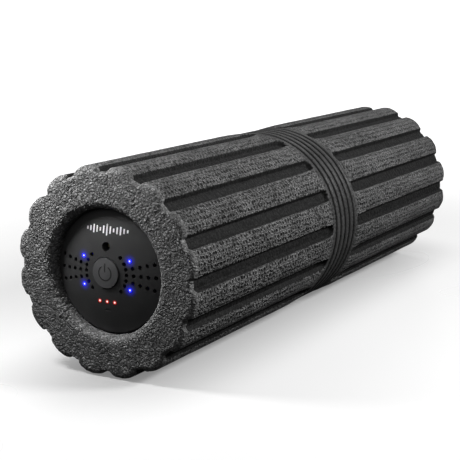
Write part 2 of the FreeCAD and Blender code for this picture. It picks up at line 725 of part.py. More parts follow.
def control_board():
    board = rod(BOARD_RADIUS, BOARD_FRONT_Y, BOARD_BACK_Y)
    holes = []
    for angle in QUARTERS:
        x, z = polar(BOSS_CIRCLE_RADIUS, angle)
        hole_radius = BOARD_SCREW[2] + STATIC_FIT
        holes.append(rod(hole_radius, BOARD_FRONT_Y - CUT_MARGIN, BOARD_BACK_Y + CUT_MARGIN, x, z))
    return board.cut(holes)


def board_screws():
    screws = []
    for angle in QUARTERS:
        x, z = polar(BOSS_CIRCLE_RADIUS, angle)
        screws.append(screw(BOARD_SCREW, Vector(x, BOARD_BACK_Y, z), Vector(0, -1, 0)))
    return screws


def board_plugs():
    """Plugs of the motor leads and the battery leads on the back of the board."""
    centres = (PLUG_CENTRE, -PLUG_CENTRE)
    return [block(PLUG_WIDTH, BOARD_BACK_Y, PLUG_BACK_Y, PLUG_HEIGHT, z=z) for z in centres]


def driver_chips():
    """Controller, charger and motor driver chips on the back of the board."""
    chip_back = BOARD_BACK_Y + DRIVER_CHIP_HEIGHT
    places = (-DRIVER_CHIP_PITCH, 0.0, DRIVER_CHIP_PITCH)
    return [block(DRIVER_CHIP_WIDTH, BOARD_BACK_Y, chip_back, DRIVER_CHIP_WIDTH, x=x) for x in places]


# ---------------------------------------------------------------- battery


def cell_places():
    return [polar(CELL_CIRCLE, angle) for angle in even_angles(CELL_COUNT, QUARTERS[0])]


def battery_cells():
    return [rod(CELL_RADIUS, -CELL_FRONT, -CELL_REAR, x, z) for x, z in cell_places()]


def tab_strips(extra=0.0):
    """Strips that join the cells in series: one link and two end tabs in front, two links behind."""
    reach = CELL_CIRCLE * math.sqrt(2) + TAB_WIDTH + 2 * extra
    width = TAB_WIDTH + 2 * extra
    offset = CELL_CIRCLE / math.sqrt(2)
    front = (-CELL_FRONT - TAB_THICKNESS, -CELL_FRONT)
    rear = (-CELL_REAR, -CELL_REAR + TAB_THICKNESS)
    strips = [block(reach, *front, width, z=offset)]
    strips += [block(width, *front, width, x, -offset) for x in (-offset, offset)]
    strips += [block(width, *rear, reach, x=x) for x in (-offset, offset)]
    return strips


def battery_pockets(start, end):
    """Pockets that locate the cells' ends, open from start to end."""
    return [rod(POCKET_RADIUS, start, end, x, z) for x, z in cell_places()]


# ---------------------------------------------------------------- chassis


def plate_holes(start, end):
    """Tie rod holes and the wire hole, through any chassis plate between start and end."""
    holes = []
    for angle in QUARTERS:
        x, z = polar(ROD_CIRCLE, angle)
        holes.append(rod(ROD_RADIUS + ROD_FIT, start - CUT_MARGIN, end + CUT_MARGIN, x, z))
    holes.append(rod(LEAD_HOLE_RADIUS, start - CUT_MARGIN, end + CUT_MARGIN, z=LEAD_CIRCLE))
    return holes


def end_plate(inner, outer):
    """Round plate with a rim on its inner side, built at the panel's end."""
    disc = rod(CHASSIS_RADIUS, -outer, -inner)
    rim = tube(CHASSIS_RADIUS, CHASSIS_RADIUS - RIM_WALL, -inner, -inner + RIM_LENGTH)
    return disc.fuse(rim)


def rim_pilots(station):
    return rim_screw_holes(RIM_SCREW[2] + THREAD_FIT, station, CORE_WALL + RIM_WALL + 2 * CUT_MARGIN)


def front_bulkhead():
    """End plate that holds the front ends of the battery cells."""
    plate = end_plate(FRONT_PLATE_INNER, FRONT_PLATE_OUTER)
    pocket_end = -FRONT_PLATE_INNER + POCKET_DEPTH
    seat = rod(BATTERY_BLOCK_RADIUS, -FRONT_PLATE_INNER, pocket_end)
    holes = plate_holes(-FRONT_PLATE_OUTER, pocket_end)
    holes += battery_pockets(-FRONT_PLATE_INNER, pocket_end + CUT_MARGIN)
    holes += tab_strips(STATIC_FIT)
    for x, z in cell_places():
        if z < 0:
            holes.append(rod(LEAD_RADIUS + 2 * STATIC_FIT, -FRONT_PLATE_OUTER - CUT_MARGIN, 0, x, z))
    return plate.fuse(seat).cut(holes + rim_pilots(RIM_STATIONS[0]))


def rear_bulkhead():
    """End plate behind the rear weight."""
    plate = mirrored(end_plate(STATION_END, REAR_PLATE_OUTER))
    return plate.cut(plate_holes(STATION_END, REAR_PLATE_OUTER) + rim_pilots(RIM_STATIONS[1]))


def battery_plate():
    """Plate that holds the rear ends of the battery cells."""
    pocket_end = -BATTERY_FLOOR - POCKET_DEPTH
    disc = rod(ROD_CIRCLE + SPACER_RADIUS, -BATTERY_FLOOR, -STATION_END)
    seat = rod(BATTERY_BLOCK_RADIUS, pocket_end, -BATTERY_FLOOR)
    holes = plate_holes(pocket_end, -STATION_END)
    holes += battery_pockets(pocket_end - CUT_MARGIN, -BATTERY_FLOOR)
    return disc.fuse(seat).cut(holes + tab_strips(STATIC_FIT))


def motor_mount():
    """Plate on the front bell's face, built at the panel's end."""
    plate = rod(CHASSIS_RADIUS, -MOUNT_FACE, -BELL_FACE)
    holes = plate_holes(-MOUNT_FACE, -BELL_FACE)
    holes.append(rod(HUB_RADIUS + STATIC_FIT, -MOUNT_FACE - CUT_MARGIN, -BELL_FACE + CUT_MARGIN))
    for angle in (0.0, 180.0):
        x, z = polar(MOTOR_SCREW_CIRCLE, angle)
        hole_radius = MOTOR_SCREW[2] + STATIC_FIT
        holes.append(rod(hole_radius, -MOUNT_FACE - CUT_MARGIN, -BELL_FACE + CUT_MARGIN, x, z))
    return plate.cut(holes)


def motor_mount_front():
    window_width = 2 * LEAD_SPREAD + TERMINAL_WIDTH + 2 * SWEEP_GAP
    window_height = TERMINAL_THICKNESS + 2 * SWEEP_GAP
    window_start = -MOUNT_FACE - CUT_MARGIN
    window = block(window_width, window_start, -BELL_FACE + CUT_MARGIN, window_height, z=TERMINAL_Z)
    return motor_mount().cut(window)


def motor_mount_rear():
    return mirrored(motor_mount())


def rod_places():
    return [polar(ROD_CIRCLE, angle) for angle in even_angles(ROD_COUNT, QUARTERS[0])]


def spacers(start, end):
    """Tubes on the tie rods that keep two plates apart."""
    return [tube(SPACER_RADIUS, ROD_RADIUS + ROD_FIT, start, end, x, z) for x, z in rod_places()]


def tie_rods():
    start = -FRONT_PLATE_OUTER - NUT_THICKNESS - ROD_STICKOUT
    end = REAR_PLATE_OUTER + NUT_THICKNESS + ROD_STICKOUT
    return [rod(ROD_RADIUS, start, end, x, z) for x, z in rod_places()]


def rod_nuts():
    corners = []
    for angle in even_angles(6):
        x, z = polar(NUT_CORNER_RADIUS, angle)
        corners.append(Vector(x, 0, z))
    hexagon = Part.Face(Part.makePolygon(corners + corners[:1]))
    blank = hexagon.extrude(Vector(0, NUT_THICKNESS, 0))
    nut = blank.cut(rod(ROD_RADIUS + THREAD_FIT, -CUT_MARGIN, NUT_THICKNESS + CUT_MARGIN))
    nuts = []
    for x, z in rod_places():
        for station in (-FRONT_PLATE_OUTER - NUT_THICKNESS, REAR_PLATE_OUTER):
            nuts.append(nut.translated(Vector(x, station, z)))
    return nuts


def bulkhead_screws():
    screws = []
    for station in RIM_STATIONS:
        screws += [screw(RIM_SCREW, seat, inward) for seat, inward in rim_screw_seats(station)]
    return screws


# ---------------------------------------------------------------- motor


def motor_can():
    return tube(CAN_RADIUS, CAN_INNER_RADIUS, -CAN_END, CAN_END)


def motor_magnets():
    inner = MAGNET_RADIUS - MAGNET_THICKNESS
    half = MAGNET_LENGTH / 2
    return [ring_sector(MAGNET_RADIUS, inner, -half, half, side, MAGNET_SPAN) for side in (0.0, 180.0)]


def motor_bell():
    """End of the motor's housing with a hub for its bearing, built at the panel's end."""
    disc = rod(CAN_RADIUS, -BELL_FACE, -CAN_END)
    spigot = tube(MAGNET_RADIUS, MAGNET_RADIUS - MAGNET_THICKNESS, -CAN_END, -CAN_END + BELL_SPIGOT)
    hub = rod(HUB_RADIUS, -HUB_FACE, -BELL_FACE)
    seat = rod(BEARING_RADIUS + THREAD_FIT, -HUB_FACE - CUT_MARGIN, -BEARING_INNER_FACE)
    bore = rod(SHAFT_RADIUS + 2 * BOND_GAP, -BEARING_INNER_FACE - CUT_MARGIN, 0)
    screw_holes = []
    for angle in (0.0, 180.0):
        x, z = polar(MOTOR_SCREW_CIRCLE, angle)
        start, end = -BELL_FACE - CUT_MARGIN, -CAN_END + CUT_MARGIN
        screw_holes.append(rod(MOTOR_SCREW[2] + THREAD_FIT, start, end, x, z))
    return disc.fuse([spigot, hub]).cut([seat, bore] + screw_holes)


def terminal_places():
    return (-LEAD_SPREAD, LEAD_SPREAD)


def motor_bell_front():
    slots = []
    for x in terminal_places():
        width = TERMINAL_WIDTH + STATIC_FIT
        height = TERMINAL_THICKNESS + STATIC_FIT
        slots.append(block(width, -BELL_FACE - CUT_MARGIN, -CAN_END + CUT_MARGIN, height, x, TERMINAL_Z))
    return motor_bell().cut(slots)


def motor_bell_rear():
    return mirrored(motor_bell())


def motor_terminals():
    """Bent tabs that come out through the front bell for the motor leads."""
    tabs = []
    reach = -MOUNT_FACE - TERMINAL_REACH
    for x in terminal_places():
        flat = block(TERMINAL_WIDTH, reach, -CAN_END, TERMINAL_THICKNESS, x, TERMINAL_Z)
        rise_middle = TERMINAL_Z + TERMINAL_RISE / 2
        rise = block(TERMINAL_WIDTH, reach, reach + TERMINAL_THICKNESS, TERMINAL_RISE, x, rise_middle)
        tabs.append(flat.fuse(rise))
    return tabs


def shaft_bearings():
    front = tube(BEARING_RADIUS, BEARING_BORE_RADIUS, -HUB_FACE, -BEARING_INNER_FACE)
    return [front, mirrored(front)]


def brush_box(gap):
    """Space of the upper brush, with a gap round it."""
    width = BRUSH_WIDTH + 2 * gap
    start = -BRUSH_MIDDLE - BRUSH_LENGTH / 2 - gap
    end = -BRUSH_MIDDLE + BRUSH_LENGTH / 2 + gap
    middle = COMMUTATOR_RADIUS + BRUSH_GAP + BRUSH_HEIGHT / 2
    return block(width, start, end, BRUSH_HEIGHT, z=middle)


def motor_brushes():
    return at_angles(brush_box(0), (0.0, 180.0))


def brush_holders():
    width = BRUSH_WIDTH + 2 * HOLDER_WALL
    end = -BRUSH_MIDDLE + BRUSH_LENGTH / 2 + HOLDER_WALL
    height = BRUSH_HEIGHT - 2 * HOLDER_WALL
    middle = COMMUTATOR_RADIUS + BRUSH_GAP + BRUSH_HEIGHT / 2
    holder = block(width, -CAN_END, end, height, z=middle).cut(brush_box(STATIC_FIT))
    return at_angles(holder, (0.0, 180.0))


def motor_screws():
    screws = []
    for angle in (0.0, 180.0):
        x, z = polar(MOTOR_SCREW_CIRCLE, angle)
        front = screw(MOTOR_SCREW, Vector(x, -MOUNT_FACE, z), Y_AXIS)
        screws += [front, mirrored(front)]
    return screws


# ---------------------------------------------------------------- rotor


def rotor_shaft():
    return rod(SHAFT_RADIUS, -SHAFT_END, SHAFT_END)


def upper_bar(width, bottom, top):
    """Bar along the armature's upper slot, a little longer than the stack."""
    return block(width, -WINDING_END, WINDING_END, top - bottom, z=(top + bottom) / 2)


def armature_core():
    half = CORE_STACK_LENGTH / 2
    stack = tube(ARMATURE_RADIUS, SHAFT_RADIUS + THREAD_FIT, -half, half)
    floor = ARMATURE_RADIUS - SLOT_DEPTH - THREAD_FIT
    slot = upper_bar(SLOT_WIDTH + 2 * THREAD_FIT, floor, ARMATURE_RADIUS + CUT_MARGIN)
    return stack.cut(at_angles(slot, even_angles(SLOT_COUNT)))


def armature_windings():
    top = math.sqrt((ARMATURE_RADIUS - STATIC_FIT) ** 2 - (SLOT_WIDTH / 2) ** 2)
    winding = upper_bar(SLOT_WIDTH, ARMATURE_RADIUS - SLOT_DEPTH, top)
    return at_angles(winding, even_angles(SLOT_COUNT))


def commutator():
    end = -COMMUTATOR_START - COMMUTATOR_LENGTH
    return tube(COMMUTATOR_RADIUS, SHAFT_RADIUS + THREAD_FIT, end, -COMMUTATOR_START)


def grub_hole(station, radius, length):
    """Hole or screw that stands on the shaft from above."""
    return Part.makeCylinder(radius, length, Vector(0, station, SHAFT_RADIUS + THREAD_FIT), Vector(0, 0, 1))


WEIGHT_MIDDLE = (WEIGHT_START + WEIGHT_END) / 2


def eccentric_weight_front():
    """Half disc that hangs below the shaft, on a round hub."""
    disc = rod(WEIGHT_RADIUS, -WEIGHT_END, -WEIGHT_START)
    upper_half = block(
        2 * WEIGHT_RADIUS + CUT_MARGIN,
        -WEIGHT_END - CUT_MARGIN,
        -WEIGHT_START + CUT_MARGIN,
        2 * WEIGHT_RADIUS,
        z=WEIGHT_RADIUS,
    )
    hub = turned(rod(WEIGHT_HUB_RADIUS, -WEIGHT_END, -WEIGHT_START), 270.0)
    blank = turned(disc, 270.0).cut(upper_half).fuse(hub).removeSplitter()
    bore = rod(SHAFT_RADIUS + THREAD_FIT, -WEIGHT_END - CUT_MARGIN, -WEIGHT_START + CUT_MARGIN)
    thread = grub_hole(-WEIGHT_MIDDLE, GRUB_RADIUS + THREAD_FIT, WEIGHT_HUB_RADIUS)
    return blank.cut([turned(bore, 270.0), thread])


def eccentric_weight_rear():
    return mirrored(eccentric_weight_front())


def weight_grub_screws():
    return [grub_hole(station, GRUB_RADIUS, GRUB_LENGTH) for station in (-WEIGHT_MIDDLE, WEIGHT_MIDDLE)]


# ---------------------------------------------------------------- leads


def motor_leads():
    """Two wires from the motor's terminals, over the front weight and the battery, to the board."""
    wires = []
    for x in terminal_places():
        start_y = -MOUNT_FACE - TERMINAL_REACH + TERMINAL_THICKNESS / 2
        points = [
            Vector(x, start_y, TERMINAL_Z + TERMINAL_RISE),
            Vector(x, start_y, LEAD_CIRCLE),
            Vector(x, PLUG_BACK_Y, PLUG_CENTRE),
        ]
        wires.append(lead(points, "motor lead"))
    return wires


def battery_leads():
    """Two wires from the battery's front tabs to the board."""
    start_y = -CELL_FRONT - TAB_THICKNESS
    gap = PLUG_BACK_Y - start_y
    offset = CELL_CIRCLE / math.sqrt(2)
    wires = []
    for side in (-1, 1):
        points = [
            Vector(side * offset, start_y, -offset),
            Vector(side * offset, start_y + gap * 0.3, -offset),
            Vector(side * LEAD_SPREAD, start_y + gap * 0.7, -PLUG_CENTRE),
            Vector(side * LEAD_SPREAD, PLUG_BACK_Y, -PLUG_CENTRE),
        ]
        wires.append(lead(points, "battery lead"))
    return wires


# ---------------------------------------------------------------- export

NODES = {
    "foam_sleeve": foam_sleeve(),
    "core_tube": core_tube(),
    "control_panel": control_panel(),
    "rear_cap": rear_cap(),
    "power_button": power_button(),
    "switch_plunger": switch_plunger(),
    "tact_switch": tact_switch(),
    "speed_light_pipes": light_pipes(SPEED_LIGHT_RADIUS, speed_light_places()),
    "charge_light_pipes": light_pipes(CHARGE_LIGHT_RADIUS, charge_light_places()),
    "speed_light_chips": light_chips(speed_light_places()),
    "charge_light_chips": light_chips(charge_light_places()),
    "charge_jack": charge_jack(),
    "charge_jack_pin": charge_jack_pin(),
    "control_board": control_board(),
    "board_screws": board_screws(),
    "board_plugs": board_plugs(),
    "driver_chips": driver_chips(),
    "battery_cells": battery_cells(),
    "battery_tabs": tab_strips(),
    "front_bulkhead": front_bulkhead(),
    "battery_plate": battery_plate(),
    "motor_mount_front": motor_mount_front(),
    "motor_mount_rear": motor_mount_rear(),
    "rear_bulkhead": rear_bulkhead(),
    "tie_rods": tie_rods(),
    "rod_nuts": rod_nuts(),
    "battery_spacers": spacers(-FRONT_PLATE_INNER, -BATTERY_FLOOR),
    "weight_spacers": spacers(-STATION_END, -MOUNT_FACE) + spacers(MOUNT_FACE, STATION_END),
    "motor_spacers": spacers(-BELL_FACE, BELL_FACE),
    "bulkhead_screws": bulkhead_screws(),
    "motor_can": motor_can(),
    "motor_magnets": motor_magnets(),
    "motor_bell_front": motor_bell_front(),
    "motor_bell_rear": motor_bell_rear(),
    "motor_terminals": motor_terminals(),
    "shaft_bearings": shaft_bearings(),
    "motor_brushes": motor_brushes(),
    "brush_holders": brush_holders(),
    "motor_screws": motor_screws(),
    "rotor_shaft": rotor_shaft(),
    "armature_core": armature_core(),
    "armature_windings": armature_windings(),
    "commutator": commutator(),
    "eccentric_weight_front": eccentric_weight_front(),
    "eccentric_weight_rear": eccentric_weight_rear(),
    "weight_grub_screws": weight_grub_screws(),
    "motor_leads": motor_leads(),
    "battery_leads": battery_leads(),
}

os.makedirs("parts", exist_ok=True)
for name, shape in NODES.items():
    if isinstance(shape, list):
        shape = Part.makeCompound(shape)
    shape.exportStep("parts/" + name + ".step")
    print(name, "solids", len(shape.Solids), "valid", shape.isValid(), "volume", round(shape.Volume, 1))
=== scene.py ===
import json
import math

import bpy
import numpy as np
from mathutils import Matrix, Vector, noise


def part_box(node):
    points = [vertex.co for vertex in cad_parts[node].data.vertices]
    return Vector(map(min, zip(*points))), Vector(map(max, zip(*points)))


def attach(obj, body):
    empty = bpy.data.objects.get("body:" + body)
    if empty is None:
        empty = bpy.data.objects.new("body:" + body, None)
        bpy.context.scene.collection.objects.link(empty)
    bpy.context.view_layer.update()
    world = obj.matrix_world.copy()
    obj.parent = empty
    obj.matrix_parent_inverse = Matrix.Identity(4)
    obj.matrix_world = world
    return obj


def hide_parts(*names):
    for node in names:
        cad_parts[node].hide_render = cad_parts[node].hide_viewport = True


# Looks of the vibrating foam roller. Named sizes are in mm, and places of lights, camera and floor
# are in metres. The roller's axis is Y, the control panel faces -Y and +Z is up.

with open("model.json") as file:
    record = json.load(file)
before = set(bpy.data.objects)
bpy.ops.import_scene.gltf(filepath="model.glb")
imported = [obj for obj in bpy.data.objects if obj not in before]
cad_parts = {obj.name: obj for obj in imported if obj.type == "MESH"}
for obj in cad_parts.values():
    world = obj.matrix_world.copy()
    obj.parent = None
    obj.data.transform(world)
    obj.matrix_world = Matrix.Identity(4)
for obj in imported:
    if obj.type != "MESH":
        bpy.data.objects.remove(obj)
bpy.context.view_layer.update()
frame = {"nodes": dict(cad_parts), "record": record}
MM = 0.001


def box_mm(node):
    """Lowest and highest corners of a CAD node at rest, in mm."""
    return [[value / MM for value in corner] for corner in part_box(node)]


# ---------------------------------------------------------------- sizes read from the frame

SLEEVE_LOW, SLEEVE_HIGH = box_mm("foam_sleeve")
HALF_LENGTH = SLEEVE_HIGH[1]
TUBE_RADIUS = box_mm("core_tube")[1][0]
PANEL_RADIUS = box_mm("control_panel")[1][0]
BUTTON_APEX = box_mm("power_button")[0][1]
SPEED_CHIPS_HIGH = box_mm("speed_light_chips")[1]
CHARGE_CHIPS_LOW, CHARGE_CHIPS_HIGH = box_mm("charge_light_chips")

# ---------------------------------------------------------------- foam sleeve

RADIUS = 68.0
BORE_RADIUS = TUBE_RADIUS + 0.3
GROOVE_COUNT = 16
GROOVE_HALF_WIDTH = 3.6
GROOVE_DEPTH = 4.5
GROOVE_CORNER = 2.0
GROOVE_START = 22.2
GROOVE_LIP = 1.2
GROOVE_FOOT = 0.5
LOBE_PITCH = 2 * math.pi * RADIUS / GROOVE_COUNT
LOBE_CROWN = 1.4
LOBE_SHOULDER = 7.65
LOBE_FADE = 12.0
BAND_EDGE = 21.0
BAND_INSET = 1.0
RIB_CUTS = 5
RIB_PITCH = 7.7
RIB_DEPTH = 2.2
RIB_FLOOR = 1.0
RIB_TOP = 2.3
EDGE_RADIUS = 4.0
EDGE_RINGS = 7
GROOVE_EDGE_SHARE = 0.45
MOUTH_RADIUS = 5.0
MOUTH_RINGS = 9
FIRST_TURN = 12.0
FACE_RINGS = 21
BORE_SHARES = (0.6, 0.2, -0.2, -0.6)
BEAD_SIZE = 2.3
BEAD_RELIEF = 0.45
BEAD_SQUASH = 0.5
WAVES = ((17.0, 0.14), (7.0, 0.08))
WAVE_DROP = 0.1
RIB_STEP = 0.55
GROOVE_END_STEP = 0.4
MARGIN_ROWS = 3
STRAIGHT_ROWS = 17
# Painted shade of the grooves and rib cuts: it begins HOLLOW_START mm below the outside and is full
# HOLLOW_SPAN mm deeper, and faces shaded more than HOLLOW_FACE_SHADE take the nearly black third material.
HOLLOW_START = 1.35
HOLLOW_SPAN = 1.1
HOLLOW_FACE_SHADE = 0.55
SKIN, BEADS, HOLLOW_SHADE = 0, 1, 2
# Distances from a groove's middle to the mesh columns beside it, closest together at its walls
COLUMN_STEPS = (0.0, 1.8, 2.8, 3.1, 3.35, 3.6, 3.9, 4.2, 4.5, 4.85, 5.4, 6.6, 8.4, 10.8)


def smooth(value):
    """Smooth step from 0 to 1."""
    t = np.clip(value, 0.0, 1.0)
    return t * t * (3.0 - 2.0 * t)


def sleeve_columns():
    """Angle of each mesh column, and its distance in mm from the middle of the nearest groove."""
    offsets = sorted({-s for s in COLUMN_STEPS} | set(COLUMN_STEPS))
    offsets.append(LOBE_PITCH / 2)
    angles = []
    beside = []
    for groove in range(GROOVE_COUNT):
        for offset in offsets:
            angles.append(groove * 2 * math.pi / GROOVE_COUNT + offset / RADIUS)
            beside.append(abs(offset))
    return np.array(angles), np.array(beside)


def sleeve_rows():
    """Stations of the mesh rows along the outside, closest together at the ribs and groove ends."""
    ribs = np.arange(0.0, RIB_PITCH * (RIB_CUTS - 1) / 2 + RIB_TOP + 0.5, RIB_STEP)
    margin = np.linspace(ribs[-1] + 0.8, GROOVE_START - 1.7, MARGIN_ROWS)
    ends = np.arange(GROOVE_START - 1.2, GROOVE_START + GROOVE_CORNER + 1.5, GROOVE_END_STEP)
    straight = np.linspace(ends[-1] + 1.0, HALF_LENGTH - EDGE_RADIUS, STRAIGHT_ROWS)
    half = np.concatenate([ribs, margin, ends, straight])
    return np.concatenate([-half[:0:-1], half])


def groove_share(beside, along):
    """How far down a groove a point is, from 0 on the surface to 1 on the floor."""
    side = beside - (GROOVE_HALF_WIDTH - GROOVE_CORNER)
    end = GROOVE_START + GROOVE_CORNER - np.abs(along)
    outside = np.hypot(np.maximum(side, 0.0), np.maximum(end, 0.0))
    distance = outside + np.minimum(np.maximum(side, end), 0.0) - GROOVE_CORNER
    return smooth((GROOVE_LIP - distance) / (GROOVE_LIP + GROOVE_FOOT))


def sleeve_radius(beside, along):
    """Radius of the outside, with its grooves, crowned lobes and ribs."""
    groove = groove_share(beside, along)
    off_crest = np.minimum(LOBE_PITCH / 2 - beside, LOBE_SHOULDER + 1.0)
    rise = np.clip((np.abs(along) - BAND_EDGE) / LOBE_FADE, 0.0, 1.0)
    crown = LOBE_CROWN * (off_crest / LOBE_SHOULDER) ** 2 * smooth(rise)
    low = np.maximum(crown, BAND_INSET * (1.0 - smooth(rise)))
    middle = RIB_PITCH * np.round(along / RIB_PITCH)
    inside_band = np.abs(middle) < RIB_PITCH * RIB_CUTS / 2
    cut = smooth((RIB_TOP - np.abs(along - middle)) / (RIB_TOP - RIB_FLOOR)) * inside_band
    return RADIUS - GROOVE_DEPTH * groove - low * (1.0 - groove) - RIB_DEPTH * cut


def end_rings(beside):
    """Rings from the outside's end round the edge, across the face and into the mouth."""
    rim = sleeve_radius(beside, HALF_LENGTH)
    edge = EDGE_RADIUS * (1.0 - (1.0 - GROOVE_EDGE_SHARE) * groove_share(beside, HALF_LENGTH))
    inner = BORE_RADIUS + MOUTH_RADIUS
    rings = []
    for turn in np.radians(np.linspace(FIRST_TURN, 90.0, EDGE_RINGS)):
        station = HALF_LENGTH - EDGE_RADIUS * (1.0 - math.sin(turn))
        rings.append((rim - edge * (1.0 - math.cos(turn)), station, "edge"))
    for share in np.linspace(0.0, 1.0, FACE_RINGS)[1:]:
        rings.append((rim - edge + (inner - rim + edge) * share, HALF_LENGTH, "face"))
    for turn in np.radians(np.linspace(FIRST_TURN, 90.0, MOUTH_RINGS)):
        station = HALF_LENGTH - MOUTH_RADIUS * (1.0 - math.cos(turn))
        rings.append((np.full_like(beside, inner - MOUTH_RADIUS * math.sin(turn)), station, "mouth"))
    return rings


def sleeve_rings(beside):
    """Radius at each column, station and stretch of every ring, once round the sleeve's section."""
    end = end_rings(beside)
    bore = np.full_like(beside, BORE_RADIUS)
    rings = [(sleeve_radius(beside, along), along, "skin") for along in sleeve_rows()]
    rings += end
    rings += [(bore, share * HALF_LENGTH, "bore") for share in BORE_SHARES]
    rings += [(radius, -along, stretch) for radius, along, stretch in reversed(end)]
    return rings


def bead_height(point):
    """Height from 0 to 1 of the foam beads' domes at a point in mm."""
    distances, _ = noise.voronoi(Vector(point) / BEAD_SIZE)
    return max(0.0, 1.0 - 2.2 * distances[0] ** 2) * min(1.0, 4.0 * (distances[1] - distances[0]))


def slow_wave(point):
    """Gentle unevenness of moulded foam, in mm."""
    return sum(height * noise.noise(Vector(point) / length) for length, height in WAVES)


def roughened(point, stretch):
    """A point of the sleeve moved by the foam's unevenness and its beads' domes."""
    x, y, z = point
    outward = np.array(Vector((x, 0.0, z)).normalized())
    if stretch == "bore":
        return point
    if stretch == "skin":
        return point + outward * (slow_wave(point) - WAVE_DROP)
    relief = BEAD_RELIEF * (bead_height((x, y * BEAD_SQUASH, z)) - 1.0)
    moved = point + np.array((0.0, math.copysign(1.0, y) * relief, 0.0))
    if stretch == "edge":
        moved += outward * (0.5 * relief + slow_wave(point))
    if stretch == "mouth":
        moved -= outward * 0.5 * relief
    return moved


def sleeve_points(rings, angles):
    """All the sleeve's points in mm, ring by ring."""
    points = []
    for radius, along, stretch in rings:
        round_ring = zip(radius * np.cos(angles), radius * np.sin(angles))
        points += [roughened(np.array((x, along, z)), stretch) for x, z in round_ring]
    return np.array(points)


def grid_faces(rows, columns):
    """Quads of a closed grid that wraps both ways. A face's own row and column are its last corner's."""
    r, c = np.meshgrid(np.arange(rows), np.arange(columns), indexing="ij")
    r2, c2 = (r + 1) % rows, (c + 1) % columns
    corners = [r2 * columns + c, r2 * columns + c2, r * columns + c2, r * columns + c]
    return np.stack([corner.ravel() for corner in corners], axis=1)


def unroll(mesh, faces, rings, angles):
    """UV map "skin": arc length round the sleeve and distance along it, both in metres."""
    stations = np.array([along for _, along, _ in rings])
    drops = np.array([0.0 if stretch == "skin" else RADIUS - radius[0] for radius, _, stretch in rings])
    row, column = np.divmod(faces, len(angles))
    past_seam = (column[:, 3:] == len(angles) - 1) & (column == 0)
    around = angles[column] * RADIUS + 2 * math.pi * RADIUS * past_seam
    layer = mesh.uv_layers.new(name="skin")
    layer.data.foreach_set("uv", (np.stack([around, (stations + drops)[row]], axis=2) * MM).ravel())


def hollow_shade(points, on_skin):
    """Painted shade: 1 deep in the grooves and rib cuts, 0 on the lobes, the band's crests and the ends."""
    depth = RADIUS - np.hypot(points[:, 0], points[:, 2])
    return smooth((depth - HOLLOW_START) / HOLLOW_SPAN) * on_skin


def foam_sleeve():
    """The whole sleeve as one closed mesh: outside, rounded ends, bead faces, mouths and bore."""
    angles, beside = sleeve_columns()
    rings = sleeve_rings(beside)
    points = sleeve_points(rings, angles)
    faces = grid_faces(len(rings), len(angles))
    mesh = bpy.data.meshes.new("foam_sleeve_beads")
    mesh.from_pydata((points * MM).tolist(), [], faces.tolist())
    unroll(mesh, faces, rings, angles)
    on_skin = np.repeat([stretch == "skin" for _, _, stretch in rings], len(angles))
    shade = hollow_shade(points, on_skin)
    painted_hollow_shade = mesh.attributes.new(name="painted_hollow_shade", type="FLOAT", domain="POINT")
    painted_hollow_shade.data.foreach_set("value", shade.astype(np.float32))
    outer = np.where(on_skin[faces[:, 3]], SKIN, BEADS)
    # Faces deep in the painted shade take the nearly black material.
    deep = shade[faces].mean(axis=1) > HOLLOW_FACE_SHADE
    mesh.polygons.foreach_set("material_index", np.where(deep, HOLLOW_SHADE, outer))
    mesh.polygons.foreach_set("use_smooth", [True] * len(faces))
    mesh.update()
    mesh.validate()
    piece = bpy.data.objects.new("foam_sleeve_beads", mesh)
    bpy.context.collection.objects.link(piece)
    return piece


# ---------------------------------------------------------------- material helpers


